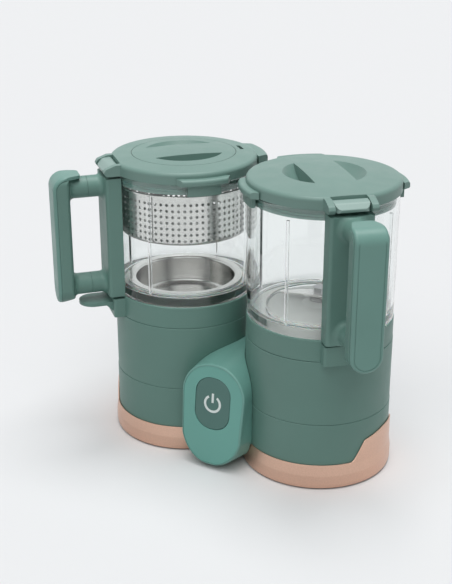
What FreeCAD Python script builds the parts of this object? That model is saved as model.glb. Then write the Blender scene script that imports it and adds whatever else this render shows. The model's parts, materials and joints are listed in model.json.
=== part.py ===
"""Twin-tower baby food maker: a steam tower and a blend tower joined by a bridge.

Millimetres, +Z up, +Y to the back. The towers stand side by side along X, the steam
tower at -X and the blend tower at +X. The origin is on the floor, under the middle of
the whole machine. Each tower carries a glass jar with a handle and a lid.
"""
import FreeCAD, Part
import math
import os

V = FreeCAD.Vector
AXIS_X = V(1, 0, 0)
AXIS_Y = V(0, 1, 0)
AXIS_Z = V(0, 0, 1)
ORIGIN = V(0, 0, 0)

# Clearances
RUN_FIT = 0.05          # radial play of a shaft or pin that turns in its hole
PRESS_GAP = 0.02        # radial play of pieces pressed or screwed together
JOIN_GAP = 0.15         # gap between pieces of one housing
FREE_GAP = 0.4          # gap between pieces that move past each other

# Layout
TOWER_GAP = 7.4         # between the two round bodies
HANDLE_ANGLE = 47.0     # the handles point this far forward of the line of towers
BODY_R = 64.3
WALL = 2.6

# Heights of the base, from the floor up
FOOT_LIFT = 1.2         # the trim ring's foot clears the floor by this
PLATE_Z = 3.0           # underside of the base plates
PLATE_T = 3.0
RING_CREASE_Z = 13.0
RING_TOP_Z = 23.0
LOWER_TOP_Z = 61.0
BASE_TOP_Z = 119.5
SEAM = 0.2              # visible line between two shells
SEAM_STEP = 0.3         # each shell stands this far outside the one above it
LIP_H = 4.0
DECK_T = 3.0

# Trim ring
RING_PROUD = 2.6        # ring outside the body
RING_TOP_T = 0.7
RING_GAP = 0.4          # shadow line between the ring's top and the shell
RING_GAP_DEPTH = 4.0
RING_TUCK = 0.6         # ring's underside inside its widest line
RING_FOOT_H = 3.0
APRON_T = 0.9           # the raised part on the outer side
APRON_TOP_Z = 46.0
APRON_SHOULDER_Z = 41.5
APRON_FOOT_W = 76.0
APRON_HEAD_W = 55.0
APRON_WING = 8.0        # level run of the apron beyond its foot
APRON_SINK = 0.5        # that run lies this far below the ring's top

# Jar collar, which turns to lock the jar's base to the glass
COLLAR_H = 19.5
COLLAR_LIFT = 0.2
COLLAR_FLANGE_T = 3.6
COLLAR_FLANGE_R = 52.0
COLLAR_BITE = 0.5       # boss and paddle run this far into the collar's wall
BOSS_PROUD = 6.7        # boss outside the body
BOSS_DROP = 2.0         # below the collar's top
PADDLE_L = 34.7         # paddle outside the body
PADDLE_W = 26.0
PADDLE_T = 3.0
PADDLE_DROP = 6.0       # paddle's top below the collar's top
GUSSET_FOOT = 2.0       # gusset outside the body, below
GUSSET_HEAD = 14.0      # and under the paddle

# Glass jar
GLASS_INSET = 1.0       # glass inside the body's outline
GLASS_T = 2.6
GLASS_H = 119.0
GLASS_SINK = 8.0        # the glass's neck goes down this far inside the collar
NECK_STEP = 2.0         # neck inside the glass wall's outline
GLASS_FLOOR_T = 15.0
GLASS_MOUTH_R = 46.0    # opening in the glass floor
GLASS_RIB_T = 2.0
GLASS_RIB_W = 2.6
GASKET_T = 1.5
GASKET_INSET = 1.5      # gaskets stay this far from the edges they seal

# Handle
RIB_DEPTH = 11.2        # rib outside the glass
RIB_W = 37.0
RIB_TOP_DROP = 2.0      # below the glass rim
FINGER_GAP = 29.7       # between the rib and the grip
GRIP_DEPTH = 14.5
GRIP_W = 28.8
GRIP_TOP_RISE = 3.0     # above the rib's top
GRIP_TAIL = 5.5         # below the lower arm
COVER_T = 3.0
COVER_INSET = 0.8
COVER_ROUND = 2.4
COVER_BEND = 12.0       # outer radius where the cover turns over the top
GROOVE_INSET = 2.8      # fine line round the cover's face
GROOVE_W = 0.6
GROOVE_DEPTH = 0.35
CORE_ROUND = 3.5
TONGUE_L = 10.2         # inward from the grip's inner face
TONGUE_W = 17.0
ARM_R = 9.5
ARM_STUB_L = 13.5       # rib's half of each arm
ARM_FLARE = 5.0
SCREW_R = 2.0
SCREW_HEAD_R = 3.8
SCREW_HEAD_H = 2.4
SCREW_SINK = 1.6

# Lid
LID_OVERHANG = 1.5      # lid outside the glass
LID_H = 10.0
LID_CROWN = 4.0
LID_T = 3.0
LID_EDGE_ROUND = 3.5
LID_SEAT_GAP = 0.5
SKIRT_CLEAR = 0.7       # skirt inside the glass
SKIRT_T = 2.4
SKIRT_H = 9.5
SEAL_W = 3.0
SEAL_DEPTH = 1.2
LUG_PROUD = 6.2         # lug outside the lid's rim
LUG_W = 41.0
LUG_FLARE = 3.0         # the lug's ends slant by this
LUG_H = 5.5
SPOUT_LUG_PROUD = 9.5   # the lug opposite the handle is larger
SPOUT_LUG_H = 8.5
HOOK_W = 29.0
HOOK_T = 3.2
TAB_PROUD = 11.2        # flap's ears outside the lid's rim
FLAP_W = 29.0
FLAP_PIVOT_IN = 0.3     # pivot inside the lid's rim
FLAP_PIVOT_DROP = 5.0   # below the lid's rim
FLAP_ROOT_R = 3.5
PIN_R = 1.2
GRIP_BOWL_R = 34.0      # round finger bowl with a bar across it
GRIP_BAR_W = 35.0
GRIP_BALL_R = 46.0
CAP_R = 45.8
CAP_LEDGE = 3.0
CAP_GAP = 0.4
VENT_GAP = 4.5          # vent outside the cap
VENT_L = 13.0
VENT_W = 3.6

# Steam basket
BASKET_CLEAR = 0.5      # basket inside the glass ribs
BASKET_T = 0.8
BASKET_H = 45.0
BASKET_ROUND = 5.0
BASKET_RIM_T = 1.0
BASKET_RIM_GAP = 0.4
HOLE_R = 1.3
HOLE_ROWS = 7
HOLE_PITCH = 5.3
HOLE_COLUMNS = 72
HOLE_FIRST_DROP = 8.0
FLOOR_HOLE_RINGS = 4
FLOOR_HOLE_STEP = 11.0

# Steam heater
DISH_FLANGE_R = 52.0
DISH_T = 1.0
HEATER_R = 44.0
HEATER_T = 4.0
HEATER_RISE = 1.0       # heater's face above the deck
HEATER_SEAL_W = 4.0
ELEMENT_R = 30.0
ELEMENT_TUBE_R = 4.0
ELEMENT_LEAD_R = 2.8
ELEMENT_LEAD_L = 16.0
ELEMENT_GAP_DEG = 30.0  # the ring is open by this much between its leads
THERMOSTAT_R = 9.0
THERMOSTAT_H = 7.2
THERMOSTAT_STEM_R = 6.3
THERMOSTAT_STEM_L = 4.8

# Blender drive
SHAFT_R = 4.0
MOTOR_R = 29.0
MOTOR_FLANGE_R = 34.0
MOTOR_FLANGE_T = 3.0
MOTOR_H = 66.0
MOTOR_SLOT_W = 6.0
MOTOR_SLOT_H = 26.4
MOTOR_SLOT_DEPTH = 3.0
MOTOR_SLOTS = 8
END_BELL_R = 20.0
END_BELL_H = 8.0
MOUNT_R = 5.0
MOUNT_H = 8.0
MOUNT_CIRCLE_R = 29.0
MOUNT_COUNT = 4
FAN_R = 24.0
FAN_H = 5.0
FAN_BLADES = 9
FAN_HUB_R = 9.0
FAN_PITCH_DEG = 30.0
FAN_BLADE_T = 1.4
SOCKET_R = 24.0
SOCKET_DEPTH = 18.0
DOG_R = 15.0
DOG_HUB_T = 5.0
DOG_TOOTH_H = 7.0
DOG_TEETH = 6
DOG_TOOTH_DEG = 25.0
BUSH_R = 9.0
BUSH_RISE = 7.0         # above the glass floor
BUSH_CHAMFER = 2.0
BLADE_REACH = 40.0
BLADE_KNEE = 22.0       # where a blade starts to narrow
BLADE_ROOT = 4.0        # flat of a blade outside the shaft
BLADE_W = 13.0
BLADE_T = 1.6
BLADE_BEND_DEG = 22.0
NUT_R = 6.5
NUT_H = 5.0

# Bridge and front panel
FACE_W = 62.0
FACE_H = 98.0
FACE_HEAD_R = 30.0      # roundings of the face's outline, above and below
FACE_FOOT_R = 26.0
FACE_ROUND = 1.5
FACE_LIFT = 1.6
FACE_PROUD = 4.2        # face in front of the towers
BRIDGE_BACK = 30.0      # rear face behind the towers' axes
BRIDGE_BACK_W = 54.0
BRIDGE_BACK_H = 58.0
BRIDGE_BACK_LIFT = 4.0
BRIDGE_WALL = 2.4
BRIDGE_WAIST = 22.0     # the hollow stops this far in front of the towers' axes
PANEL_T = 3.0
PANEL_INSET = 1.6       # light rim round the panel
PANEL_SINK = 0.3        # panel and button behind that rim
BUTTON_W = 34.0
BUTTON_H = 49.0
BUTTON_CORNER_R = 15.5
BUTTON_FLANGE = 1.5     # hidden rim behind the panel
BUTTON_RISE = 11.7      # button's centre above the face's centre
BUTTON_TRAVEL = 1.5
BUTTON_STEM_R = 4.0
BOARD_MARGIN = 7.0      # board beyond the button on each side
BOARD_H = 36.0
BOARD_T = 1.6
BOARD_SETBACK = 12.0
BOARD_DROP = 4.0        # board's centre below the button's
POST_R = 2.2
POST_INSET = 2.8
SWITCH_SIZE = 8.0
GLAND_R = 5.0
GLAND_L = 8.0
GLAND_HEAD_R = 7.0
GLAND_HEAD_T = 3.0
CORD_R = 3.5
WIRE_DUCT_R = 8.0
WIRE_DUCT_Z = 41.0
WIRE_DUCT_FORWARD = 32.0

# Feet and base screws
FOOT_R = 7.0
FOOT_CIRCLE_R = 47.0
FOOT_COUNT = 4
BRIDGE_FOOT_R = 6.0
BRIDGE_FOOT_SETBACK = 9.0
BOSS_R = 4.5
BOSS_H = 22.0
BOSS_INSET = 7.7        # screw posts inside the wall
BOSS_COUNT = 4
BASE_SCREW_R = 1.6
BASE_SCREW_L = 12.0
BASE_SCREW_HEAD_R = 3.0
BASE_SCREW_HEAD_H = 1.2

# Levels and radii that follow from the sizes above
TOWER_SPACING = 2 * BODY_R + TOWER_GAP
UPPER_R = BODY_R - SEAM_STEP
COLLAR_R = UPPER_R - SEAM_STEP
RING_R = BODY_R + RING_PROUD
BOSS_OUT_R = BODY_R + BOSS_PROUD
PADDLE_REACH = BODY_R + PADDLE_L
BOSS_CIRCLE_R = BODY_R - WALL - BOSS_INSET
GLASS_R = BODY_R - GLASS_INSET
RIB_OUT_R = GLASS_R + RIB_DEPTH
ARM_SPLIT_R = RIB_OUT_R + ARM_STUB_L
GRIP_IN_R = RIB_OUT_R + FINGER_GAP
GRIP_OUT_R = GRIP_IN_R + GRIP_DEPTH
TONGUE_R = GRIP_IN_R - TONGUE_L
LID_R = GLASS_R + LID_OVERHANG
LUG_R = LID_R + LUG_PROUD
SPOUT_LUG_R = LID_R + SPOUT_LUG_PROUD
VENT_IN_R = CAP_R + VENT_GAP
TAB_OUT_R = LID_R + TAB_PROUD
FLAP_PIVOT_R = LID_R - FLAP_PIVOT_IN
COLLAR_Z = BASE_TOP_Z + COLLAR_LIFT
COLLAR_TOP_Z = BASE_TOP_Z + COLLAR_H
GLASS_Z = COLLAR_TOP_Z - GLASS_SINK
GLASS_TOP_Z = GLASS_Z + GLASS_H
NECK_R = GLASS_R - NECK_STEP
GLASS_IN_R = GLASS_R - GLASS_T
BASKET_R = GLASS_IN_R - GLASS_RIB_T - BASKET_CLEAR
GLASS_FLOOR_Z = GLASS_Z + GLASS_FLOOR_T
GASKET_Z = GLASS_Z - GASKET_T
FLANGE_Z = GASKET_Z - 4.0
RIB_Z = COLLAR_TOP_Z + FREE_GAP
RIB_TOP_Z = GLASS_TOP_Z - RIB_TOP_DROP
LOWER_ARM_Z = RIB_Z + ARM_R + 0.2
UPPER_ARM_Z = RIB_TOP_Z - ARM_R - 0.2
GRIP_TOP_Z = RIB_TOP_Z + GRIP_TOP_RISE
GRIP_Z = LOWER_ARM_Z - ARM_R - GRIP_TAIL
CORE_OUT_R = GRIP_OUT_R - COVER_T
SCREW_SEAT_R = CORE_OUT_R - SCREW_SINK - SCREW_HEAD_H
LID_Z = GLASS_TOP_Z + LID_SEAT_GAP
LID_RIM_Z = LID_Z + LID_H
LID_TOP_Z = LID_RIM_Z + LID_CROWN
DOME_R = (LID_R ** 2 + LID_CROWN ** 2) / (2 * LID_CROWN)
SKIRT_R = GLASS_IN_R - SKIRT_CLEAR
SKIRT_IN_R = SKIRT_R - SKIRT_T
SKIRT_Z = LID_Z - SKIRT_H
FLAP_PIVOT_Z = LID_RIM_Z - FLAP_PIVOT_DROP
BOWL_CENTRE_Z = LID_RIM_Z + LID_CROWN / 2 + math.sqrt(GRIP_BALL_R ** 2 - GRIP_BOWL_R ** 2)
GLASS_RIB_TOP_Z = SKIRT_Z - 3.0
BASKET_TOP_Z = GLASS_RIB_TOP_Z + BASKET_RIM_T
HEATER_TOP_Z = BASE_TOP_Z + HEATER_RISE
MOTOR_Z = PLATE_Z + PLATE_T + MOUNT_H
MOTOR_TOP_Z = MOTOR_Z + MOTOR_H
SOCKET_Z = BASE_TOP_Z - SOCKET_DEPTH
DOG_Z = SOCKET_Z + 3.0
DRIVEN_Z = DOG_Z + DOG_HUB_T + DOG_TOOTH_H + 1.0
COVER_HALF = GRIP_W / 2 - COVER_INSET
HANDLE_TURN = math.radians(HANDLE_ANGLE)
GRIP_CORNER_OUT = (GRIP_OUT_R - COVER_ROUND) * math.sin(HANDLE_TURN)
GRIP_CORNER_SIDE = (COVER_HALF - COVER_ROUND) * math.cos(HANDLE_TURN)
HANDLE_REACH = GRIP_CORNER_OUT + GRIP_CORNER_SIDE + COVER_ROUND
TOWER_Y = (HANDLE_REACH - RING_R) / 2
FACE_Y = TOWER_Y - BODY_R - FACE_PROUD
FACE_Z = FACE_LIFT + FACE_H / 2
GLAND_Z = BRIDGE_BACK_LIFT + BRIDGE_BACK_H / 2
BOARD_W = BUTTON_W + 2 * BOARD_MARGIN

# Which way a flat outline lies, and which way it is pulled into a solid
PLANES = {
    "xy": (lambda a, b, c: V(a, b, c), AXIS_Z),
    "xz": (lambda a, b, c: V(a, c, b), AXIS_Y),
    "yz": (lambda a, b, c: V(c, a, b), AXIS_X),
}


def outline(corners, plane, level=0.0):
    """Closed flat face through corners (a, b, radius), each rounded by a tangent arc."""
    lift = PLANES[plane][0]
    points = [V(a, b, 0) for a, b, radius in corners]
    edges = []
    ends = []
    for i, (a, b, radius) in enumerate(corners):
        here = points[i]
        if radius == 0:
            ends.append((here, here))
            continue
        back = (points[i - 1] - here).normalize()
        ahead = (points[(i + 1) % len(points)] - here).normalize()
        half = back.getAngle(ahead) / 2
        inset = radius / math.tan(half)
        middle = (back + ahead).normalize() * (radius / math.sin(half) - radius)
        start = here + back * inset
        end = here + ahead * inset
        arc = [lift(p.x, p.y, level) for p in (start, here + middle, end)]
        edges.append(Part.Arc(*arc).toShape())
        ends.append((start, end))
    for i in range(len(ends)):
        start = ends[i][1]
        end = ends[(i + 1) % len(ends)][0]
        if start.distanceToPoint(end) > 1e-6:
            line = [lift(p.x, p.y, level) for p in (start, end)]
            edges.append(Part.LineSegment(*line).toShape())
    return Part.Face(Part.Wire(Part.__sortEdges__(edges)))


def prism(corners, plane, low, high):
    """Solid between two levels square to a plane."""
    return outline(corners, plane, low).extrude(PLANES[plane][1] * (high - low))


def block(x0, x1, y0, y1, z0, z1):
    return Part.makeBox(x1 - x0, y1 - y0, z1 - z0, V(x0, y0, z0))


def rod(radius, z0, z1, x=0.0, y=0.0):
    return Part.makeCylinder(radius, z1 - z0, V(x, y, z0))


def rod_x(radius, x0, x1, y, z):
    return Part.makeCylinder(radius, x1 - x0, V(x0, y, z), AXIS_X)


def rod_y(radius, y0, y1, x, z):
    return Part.makeCylinder(radius, y1 - y0, V(x, y0, z), AXIS_Y)


def tube(outer, inner, z0, z1):
    return rod(outer, z0, z1).cut(rod(inner, z0, z1))


def turned(corners):
    """Solid of revolution about Z from corners (radius, height, rounding)."""
    return outline(corners, "xz").revolve(ORIGIN, AXIS_Z, 360)


def around(shape, count, start=0.0):
    """Copies of a shape, evenly spaced about Z."""
    copies = []
    for i in range(count):
        copy = shape.copy()
        copy.rotate(ORIGIN, AXIS_Z, start + i * 360.0 / count)
        copies.append(copy)
    return copies


def fused(*shapes):
    return shapes[0].fuse(list(shapes[1:])).removeSplitter()


def circle_edges(shape, radius, z):
    """Round edges of a shape that lie level at one radius and height."""
    found = []
    for edge in shape.Edges:
        if edge.Degenerated or not isinstance(edge.Curve, Part.Circle):
            continue
        curve = edge.Curve
        if abs(curve.Radius - radius) < 0.01 and abs(curve.Center.z - z) < 0.01:
            found.append(edge)
    return found


def at_tower(shape, side, angle=0.0):
    """A shape made about the Z axis, turned and set on one tower's axis."""
    copy = shape.copy()
    copy.rotate(ORIGIN, AXIS_Z, angle)
    copy.translate(V(side * TOWER_SPACING / 2, TOWER_Y, 0))
    return copy


def at_handle(shape, side):
    """A shape made with the handle along +X, set on one tower."""
    return at_tower(shape, side, -90 + side * (90 - HANDLE_ANGLE))


def outward(side):
    """Angle of the side of a tower that faces away from the other one."""
    return 0.0 if side > 0 else 180.0


# Base towers


def trim_ring():
    """Metal-look foot ring with a raised apron on the outer side."""
    inner = BODY_R + JOIN_GAP
    top_in = inner + RING_GAP
    gap_z = RING_TOP_Z - RING_GAP_DEPTH
    band = turned([
        (inner, FOOT_LIFT, 0),
        (RING_R - RING_TUCK, FOOT_LIFT, 0.8),
        (RING_R, FOOT_LIFT + RING_FOOT_H, 2.0),
        (RING_R, RING_CREASE_Z, 3.0),
        (top_in + RING_TOP_T, RING_TOP_Z, 0),
        (top_in, RING_TOP_Z, 0),
        (top_in, gap_z, 0),
        (inner, gap_z - RING_GAP, 0),
    ])
    foot = APRON_FOOT_W / 2
    head = APRON_HEAD_W / 2
    wing = foot + APRON_WING
    level = RING_TOP_Z - APRON_SINK
    apron_face = prism([
        (-wing, RING_CREASE_Z, 0),
        (-wing, level, 0),
        (-foot, level, 6.0),
        (-head, APRON_SHOULDER_Z, 5.0),
        (0, APRON_TOP_Z, 60.0),
        (head, APRON_SHOULDER_Z, 5.0),
        (foot, level, 6.0),
        (wing, level, 0),
        (wing, RING_CREASE_Z, 0),
    ], "yz", 0, RING_R + 5)
    apron = tube(top_in + APRON_T, top_in, RING_CREASE_Z, APRON_TOP_Z + 1).common(apron_face)
    return fused(band, apron)


def screw_bosses(z0, height, hole_r):
    """Screw posts that stand against the inside of a tower's wall."""
    post = rod(BOSS_R, z0, z0 + height, BOSS_CIRCLE_R)
    web = block(BOSS_CIRCLE_R, BODY_R - WALL / 2, -1.5, 1.5, z0, z0 + height)
    boss = post.fuse(web).cut(rod(hole_r, z0, z0 + height - 3, BOSS_CIRCLE_R))
    return around(boss, BOSS_COUNT, 45)


def lower_shell(side):
    """Lower half of a tower, with a lip that locates the upper half."""
    top = LOWER_TOP_Z - SEAM / 2
    lip_r = BODY_R - WALL - JOIN_GAP
    wall = turned([
        (BODY_R - WALL, PLATE_Z, 0),
        (BODY_R, PLATE_Z, 0),
        (BODY_R, top, 0.4),
        (lip_r, top, 0),
        (lip_r, top + LIP_H, 0),
        (lip_r - WALL, top + LIP_H, 0),
        (lip_r - WALL, top - LIP_H, 0),
        (BODY_R - WALL, top - LIP_H - WALL, 0),
    ])
    shell = fused(wall, *screw_bosses(PLATE_Z + PLATE_T, BOSS_H, BASE_SCREW_R + PRESS_GAP))
    low_x, high_x = sorted((0, -side * BODY_R))
    port = rod_x(WIRE_DUCT_R, low_x, high_x, -WIRE_DUCT_FORWARD, WIRE_DUCT_Z)
    return shell.cut(port)


def upper_shell(deck_hole_r):
    """Upper half of a tower with the deck that the jar stands on."""
    bottom = LOWER_TOP_Z + SEAM / 2
    return turned([
        (BODY_R - WALL, bottom, 0),
        (UPPER_R, bottom, 0.4),
        (UPPER_R, BASE_TOP_Z, 0.5),
        (deck_hole_r, BASE_TOP_Z, 0),
        (deck_hole_r, BASE_TOP_Z - DECK_T, 0),
        (BODY_R - WALL, BASE_TOP_Z - DECK_T, 4.0),
    ])


def steam_upper_shell():
    """The deck's hole holds the heater in its seal, on a ledge below."""
    hole = HEATER_R + HEATER_SEAL_W + JOIN_GAP
    ledge_z = HEATER_TOP_Z - HEATER_T - DECK_T
    ledge = tube(hole + WALL, HEATER_R - 3.0, ledge_z - 2.0, ledge_z)
    cup = tube(hole + WALL, hole, ledge_z - 2.0, BASE_TOP_Z - DECK_T / 2)
    return fused(upper_shell(hole), ledge, cup)


def blend_upper_shell():
    """The deck's hole is a socket, with the motor's drive dog standing in it."""
    socket = turned([
        (SOCKET_R, BASE_TOP_Z - DECK_T / 2, 0),
        (SOCKET_R + WALL, BASE_TOP_Z - DECK_T / 2, 0),
        (SOCKET_R + WALL, SOCKET_Z - WALL, 3.0),
        (SHAFT_R + 2.0, SOCKET_Z - WALL, 0),
        (SHAFT_R + 2.0, SOCKET_Z, 0),
        (SOCKET_R, SOCKET_Z, 2.0),
    ])
    return fused(upper_shell(SOCKET_R), socket)


def base_plate(vents):
    """Bottom cover with screw holes and, under the motor, cooling slots."""
    plate = rod(BODY_R - WALL - JOIN_GAP, PLATE_Z, PLATE_Z + PLATE_T)
    holes = around(rod(BASE_SCREW_R + PRESS_GAP, PLATE_Z, PLATE_Z + PLATE_T, BOSS_CIRCLE_R), BOSS_COUNT, 45)
    if vents:
        slot = prism([(8, -1.5, 1.4), (22, -1.5, 1.4), (22, 1.5, 1.4), (8, 1.5, 1.4)],
                     "xy", PLATE_Z, PLATE_Z + PLATE_T)
        holes += around(slot, 12)
    return plate.cut(holes)


def rubber_feet():
    """Pads under both towers and a small one under the bridge."""
    pad = turned([(0, 0, 0), (FOOT_R - 1, 0, 0.8), (FOOT_R, PLATE_Z, 0), (0, PLATE_Z, 0)])
    pad.translate(V(FOOT_CIRCLE_R, 0, 0))
    feet = []
    for side in (-1, 1):
        feet += [at_tower(foot, side) for foot in around(pad, FOOT_COUNT)]
    bridge_y = FACE_Y + BRIDGE_FOOT_SETBACK
    stud = rod(BRIDGE_FOOT_R, 0, FACE_LIFT + BRIDGE_WALL, 0, bridge_y)
    feet.append(stud.cut(bridge_bar(0, FACE_Y, TOWER_Y)))
    return Part.makeCompound(feet)


def base_screws():
    """Screws that hold the base plates to the towers, heads under the plates."""
    head = rod(BASE_SCREW_HEAD_R, PLATE_Z - BASE_SCREW_HEAD_H, PLATE_Z, BOSS_CIRCLE_R)
    shank = rod(BASE_SCREW_R, PLATE_Z, PLATE_Z + BASE_SCREW_L, BOSS_CIRCLE_R)
    screw = fused(head, shank)
    screws = []
    for side in (-1, 1):
        screws += [at_tower(one, side) for one in around(screw, BOSS_COUNT, 45)]
    return Part.makeCompound(screws)


# Bridge, front panel and button


def oval(width, height, y0, y1, z):
    """Upright elliptical rod along Y."""
    ellipse = Part.Ellipse(V(0, y0, z + height / 2), V(width / 2, y0, z), V(0, y0, z))
    face = Part.Face(Part.Wire(ellipse.toShape()))
    return face.extrude(V(0, y1 - y0, 0))


def pill(width, height, head_r, foot_r, y0, y1, z):
    """Upright bar along Y, rounded at its corners as far as its width allows."""
    half = width / 2
    head = min(head_r, half - SEAM)
    foot = min(foot_r, half - SEAM)
    return prism([
        (-half, z - height / 2, foot),
        (half, z - height / 2, foot),
        (half, z + height / 2, head),
        (-half, z + height / 2, head),
    ], "xz", y0, y1)


def bridge_bar(inset, y0, y1):
    """The bridge's outline, drawn in by an inset."""
    size = (FACE_W - 2 * inset, FACE_H - 2 * inset, FACE_HEAD_R - inset, FACE_FOOT_R - inset)
    return pill(*size, y0, y1, FACE_Z)


def button_bar(outset, y0, y1):
    """The button's outline, grown by an outset."""
    corner = BUTTON_CORNER_R + outset
    return pill(BUTTON_W + 2 * outset, BUTTON_H + 2 * outset, corner, corner, y0, y1, button_z())


def tower_space(gap):
    """Everything that the two towers and their rings take up, with a gap round them."""
    spaces = []
    for side in (-1, 1):
        spaces.append(at_tower(rod(BODY_R + gap, -1, BASE_TOP_Z), side))
        spaces.append(at_tower(rod(RING_R + gap, -1, RING_TOP_Z + gap), side))
    return fused(*spaces)


def wire_duct():
    """Bore across the bridge, in line with the wire ports of both towers."""
    half = TOWER_SPACING / 2
    return rod_x(WIRE_DUCT_R, -half, half, TOWER_Y - WIRE_DUCT_FORWARD, WIRE_DUCT_Z)


def bridge_shell():
    """Rounded tunnel from the front panel back between the towers, closed behind."""
    rear_y = TOWER_Y + BRIDGE_BACK
    hollow_y = TOWER_Y - BRIDGE_WAIST
    outer = bridge_bar(0, FACE_Y, TOWER_Y)
    rear = oval(BRIDGE_BACK_W, BRIDGE_BACK_H, hollow_y + BRIDGE_WALL, rear_y, GLAND_Z)
    edge = [e for e in outer.Edges if abs(e.BoundBox.YMax - FACE_Y) < 0.01]
    outer = outer.makeFillet(FACE_ROUND, edge)
    inner = bridge_bar(BRIDGE_WALL, FACE_Y + PANEL_T, hollow_y)
    inner = inner.cut(tower_space(JOIN_GAP + BRIDGE_WALL))
    seat = bridge_bar(PANEL_INSET, FACE_Y - 1, FACE_Y + PANEL_T)
    bore = rod_y(GLAND_R, rear_y - GLAND_L - BRIDGE_WALL, rear_y + 1, 0, GLAND_Z)
    return fused(outer, rear).cut([inner, seat, bore, wire_duct(), tower_space(JOIN_GAP)])


def button_z():
    return FACE_Z + BUTTON_RISE


def board_z():
    return button_z() - BOARD_DROP


def front_panel():
    """Face plate with the button's opening and posts for the control board."""
    face = bridge_bar(PANEL_INSET + JOIN_GAP, FACE_Y + PANEL_SINK, FACE_Y + PANEL_T)
    opening = button_bar(FREE_GAP, FACE_Y - 1, FACE_Y + BOARD_SETBACK)
    posts = []
    for x in (-BOARD_W / 2 + POST_INSET, BOARD_W / 2 - POST_INSET):
        for z in (board_z() - BOARD_H / 2 + 4, board_z() + BOARD_H / 2 - 4):
            posts.append(rod_y(POST_R, FACE_Y + PANEL_T / 2, FACE_Y + BOARD_SETBACK, x, z))
    return fused(face.cut(opening), *posts)


def start_button():
    """Push button with a hidden flange that keeps it in the panel."""
    front_y = FACE_Y + PANEL_SINK
    flange_y = FACE_Y + PANEL_T + FREE_GAP
    cap = button_bar(0, front_y, flange_y + 1)
    edge = [e for e in cap.Edges if abs(e.BoundBox.YMax - front_y) < 0.01]
    cap = cap.makeFillet(0.6, edge)
    flange = button_bar(BUTTON_FLANGE, flange_y, flange_y + 1)
    stem_end = FACE_Y + BOARD_SETBACK - SWITCH_SIZE / 2 - BUTTON_TRAVEL - FREE_GAP
    stem = rod_y(BUTTON_STEM_R, flange_y, stem_end, 0, button_z())
    return fused(cap, flange, stem)


def control_board():
    y = FACE_Y + BOARD_SETBACK
    return block(-BOARD_W / 2, BOARD_W / 2, y, y + BOARD_T, board_z() - BOARD_H / 2, board_z() + BOARD_H / 2)


def button_switch():
    """Push switch on the board, behind the button's stem."""
    y = FACE_Y + BOARD_SETBACK
    half = SWITCH_SIZE / 2
    return block(-half, half, y - half, y, button_z() - half, button_z() + half)


def cord_gland():
    """Bush in the rear of the bridge where the mains lead would come in."""
    rear_y = TOWER_Y + BRIDGE_BACK
    end_y = rear_y + GLAND_HEAD_T
    neck = rod_y(GLAND_R - PRESS_GAP, rear_y - GLAND_L, rear_y, 0, GLAND_Z)
    head = rod_y(GLAND_HEAD_R, rear_y, end_y, 0, GLAND_Z)
    edge = [e for e in head.Edges if abs(e.BoundBox.YMin - end_y) < 0.01]
    head = head.makeFillet(GLAND_HEAD_T / 3, edge)
    return fused(neck, head).cut(rod_y(CORD_R, rear_y - GLAND_L, end_y, 0, GLAND_Z))


# Steam heater


def heating_plate():
    """Stainless heater face that the steam jar's dish stands on."""
    low = HEATER_TOP_Z - HEATER_T
    return turned([
        (0, low, 0),
        (HEATER_R, low, 0),
        (HEATER_R, HEATER_TOP_Z, 1.0),
        (0, HEATER_TOP_Z, 0),
    ])


def boiler_seal():
    """Silicone ring round the heater, on the shell's ledge."""
    low = HEATER_TOP_Z - HEATER_T
    return turned([
        (HEATER_R - 2.5, low - DECK_T, 0),
        (HEATER_R + HEATER_SEAL_W, low - DECK_T, 0),
        (HEATER_R + HEATER_SEAL_W, BASE_TOP_Z, 0.6),
        (HEATER_R + PRESS_GAP, BASE_TOP_Z, 0.6),
        (HEATER_R + PRESS_GAP, low, 0),
        (HEATER_R - 2.5, low, 0),
    ])


def heating_element():
    """Open ring of sheathed element under the heater, with two upright leads."""
    z = HEATER_TOP_Z - HEATER_T - ELEMENT_TUBE_R
    section = Part.Face(Part.Wire(Part.Circle(V(ELEMENT_R, 0, z), AXIS_Y, ELEMENT_TUBE_R).toShape()))
    start = ELEMENT_GAP_DEG / 2
    section.rotate(ORIGIN, AXIS_Z, start)
    ring = section.revolve(ORIGIN, AXIS_Z, 360 - ELEMENT_GAP_DEG)
    leads = []
    for angle in (start, -start):
        x = ELEMENT_R * math.cos(math.radians(angle))
        y = ELEMENT_R * math.sin(math.radians(angle))
        leads.append(rod(ELEMENT_LEAD_R, z - ELEMENT_LEAD_L, z, x, y))
    return fused(ring, *leads)


def thermostat():
    top = HEATER_TOP_Z - HEATER_T
    low = top - THERMOSTAT_H
    can = rod(THERMOSTAT_R, low, top)
    stem = rod(THERMOSTAT_STEM_R, low - THERMOSTAT_STEM_L, low)
    return fused(can, stem)


# Blender drive


def motor_can():
    """Motor on a flange, with the shaft's bore right through."""
    body = turned([
        (SHAFT_R + RUN_FIT, MOTOR_Z, 0),
        (MOTOR_FLANGE_R, MOTOR_Z, 0),
        (MOTOR_FLANGE_R, MOTOR_Z + MOTOR_FLANGE_T, 0),
        (MOTOR_R, MOTOR_Z + MOTOR_FLANGE_T, 1.0),
        (MOTOR_R, MOTOR_TOP_Z, 2.0),
        (SHAFT_R + RUN_FIT, MOTOR_TOP_Z, 0),
    ])
    half = MOTOR_SLOT_W / 2
    low = MOTOR_Z + (MOTOR_H - MOTOR_SLOT_H) / 2
    slot = block(MOTOR_R - MOTOR_SLOT_DEPTH, MOTOR_R + 1, -half, half, low, low + MOTOR_SLOT_H)
    return body.cut(around(slot, MOTOR_SLOTS))


def motor_end_bell():
    low = MOTOR_TOP_Z
    return turned([
        (SHAFT_R + RUN_FIT, low, 0),
        (END_BELL_R, low, 0),
        (END_BELL_R - 6, low + END_BELL_H, 2.0),
        (SHAFT_R + RUN_FIT, low + END_BELL_H, 0),
    ])


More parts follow.
